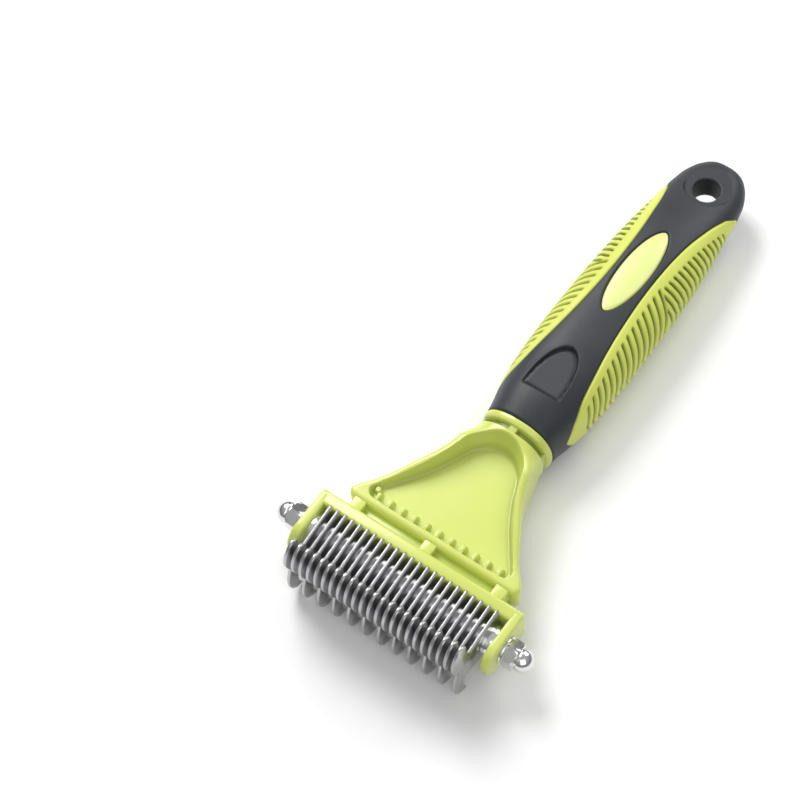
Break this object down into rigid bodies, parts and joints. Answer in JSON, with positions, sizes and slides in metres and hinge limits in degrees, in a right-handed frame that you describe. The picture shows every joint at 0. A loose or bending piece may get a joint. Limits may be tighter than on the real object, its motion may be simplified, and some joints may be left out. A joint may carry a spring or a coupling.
{
  "type": "double sided undercoat rake",
  "caption": "Hand rake for pet coats: a row of hooked steel blades, fine above and coarse below, on an axle across a flared head, with a waisted soft grip and a hanging hole.",
  "frame": {"origin": "bottom centre of the bounding box, under the belly of the handle", "axes": "+Y from the blades to the hanging hole, +Z to the fine-tooth face, X along the blade axle"},
  "size_m": [0.092, 0.1942, 0.0289],
  "materials": {
    "lime_plastic": "satin moulded, lime yellow-green",
    "badge_plastic": "smooth moulded oval, lime",
    "grey_grip": "matte soft-touch, slate grey",
    "lime_grip": "matte soft-touch with slanted ribs, lime",
    "blade_steel": "ground and polished stainless steel",
    "spacer_chrome": "bright turned",
    "axle_steel": "threaded rod",
    "nut_chrome": "bright plated"
  },
  "bodies": {
    "tool": {"head_frame": "lime_plastic", "handle_core": "lime_plastic", "badge_front": "badge_plastic", "badge_back": "badge_plastic", "grip_cover": "grey_grip", "side_grip_left": "lime_grip", "side_grip_right": "lime_grip", "axle": "axle_steel", "end_spacer_left": "spacer_chrome", "end_spacer_right": "spacer_chrome", "blade_01": "blade_steel", "blade_02": "blade_steel", "blade_03": "blade_steel", "blade_04": "blade_steel", "blade_05": "blade_steel", "blade_06": "blade_steel", "blade_07": "blade_steel", "blade_08": "blade_steel", "blade_09": "blade_steel", "blade_10": "blade_steel", "blade_11": "blade_steel", "blade_12": "blade_steel", "blade_13": "blade_steel", "blade_14": "blade_steel", "blade_15": "blade_steel", "blade_16": "blade_steel", "blade_17": "blade_steel", "blade_18": "blade_steel", "blade_19": "blade_steel", "blade_20": "blade_steel", "blade_21": "blade_steel", "blade_22": "blade_steel", "blade_23": "blade_steel", "spacer_01": "spacer_chrome", "spacer_02": "spacer_chrome", "spacer_03": "spacer_chrome", "spacer_04": "spacer_chrome", "spacer_05": "spacer_chrome", "spacer_06": "spacer_chrome", "spacer_07": "spacer_chrome", "spacer_08": "spacer_chrome", "spacer_09": "spacer_chrome", "spacer_10": "spacer_chrome", "spacer_11": "spacer_chrome", "spacer_12": "spacer_chrome", "spacer_13": "spacer_chrome", "spacer_14": "spacer_chrome", "spacer_15": "spacer_chrome", "spacer_16": "spacer_chrome", "spacer_17": "spacer_chrome", "spacer_18": "spacer_chrome", "spacer_19": "spacer_chrome", "spacer_20": "spacer_chrome", "spacer_21": "spacer_chrome", "spacer_22": "spacer_chrome"},
    "left_washer": {"washer_left": "nut_chrome"},
    "left_nut": {"cap_nut_left": "nut_chrome"},
    "right_washer": {"washer_right": "nut_chrome"},
    "right_nut": {"cap_nut_right": "nut_chrome"}
  },
  "joints": [
    {"name": "left_nut_turn", "type": "hinge", "parent": "tool", "child": "left_washer", "pos_m": [-0.037, -0.07952, 0.01313], "axis": [-1, 0, 0], "range_deg": [0, 2880]},
    {"name": "left_nut_travel", "type": "slide", "parent": "left_washer", "child": "left_nut", "axis": [-1, 0, 0], "range_m": [0, 0.0064]},
    {"name": "right_nut_turn", "type": "hinge", "parent": "tool", "child": "right_washer", "pos_m": [0.037, -0.07952, 0.01313], "axis": [1, 0, 0], "range_deg": [0, 2880]},
    {"name": "right_nut_travel", "type": "slide", "parent": "right_washer", "child": "right_nut", "axis": [1, 0, 0], "range_m": [0, 0.0064]}
  ],
  "couplings": [
    {"joint": "left_nut_turn", "follows": "left_nut_travel", "rad_per_m": 7854},
    {"joint": "right_nut_turn", "follows": "right_nut_travel", "rad_per_m": 7854}
  ]
}
